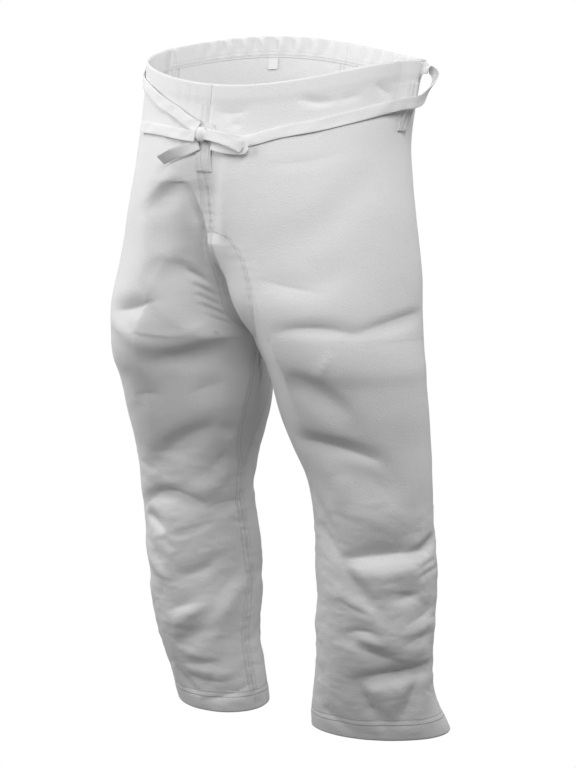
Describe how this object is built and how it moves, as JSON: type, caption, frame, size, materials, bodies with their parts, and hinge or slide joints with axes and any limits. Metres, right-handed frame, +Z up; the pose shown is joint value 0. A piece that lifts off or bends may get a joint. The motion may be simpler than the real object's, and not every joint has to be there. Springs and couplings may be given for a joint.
{
  "type": "karate pants",
  "caption": "Loose white cotton martial arts trousers with a drawstring waist, side vents, a crotch gusset and turned-up hems, worn for training.",
  "frame": {"origin": "the middle of the waist opening, where a wearer's waist holds the trousers up", "axes": "+Z up along the body, the wearer faces -Y and the wearer's left side is +X"},
  "size_m": [0.4734, 0.3085, 0.9276],
  "materials": {
    "cotton": "heavy white cotton canvas, matt, with large soft folds",
    "tape": "white woven cotton tape, matt",
    "label": "plain white woven label, bare"
  },
  "bodies": {
    "root": {"front_panel_left": "cotton", "front_panel_right": "cotton", "back_panel_left": "cotton", "back_panel_right": "cotton", "crotch_gusset": "cotton", "casing_front_left": "cotton", "casing_front_right": "cotton", "casing_back_left": "cotton", "casing_back_right": "cotton", "vent_strip_left": "cotton", "vent_strip_right": "cotton", "hem_front_left": "cotton", "hem_front_right": "cotton", "hem_back_left": "cotton", "hem_back_right": "cotton", "centre_front_loop": "cotton", "drawstring_run_right": "tape", "drawstring_run_left": "tape", "drawstring_knot": "tape", "drawstring_end_across": "tape", "drawstring_end_down": "tape", "drawstring_bow": "tape", "size_label": "label"}
  },
  "joints": []
}
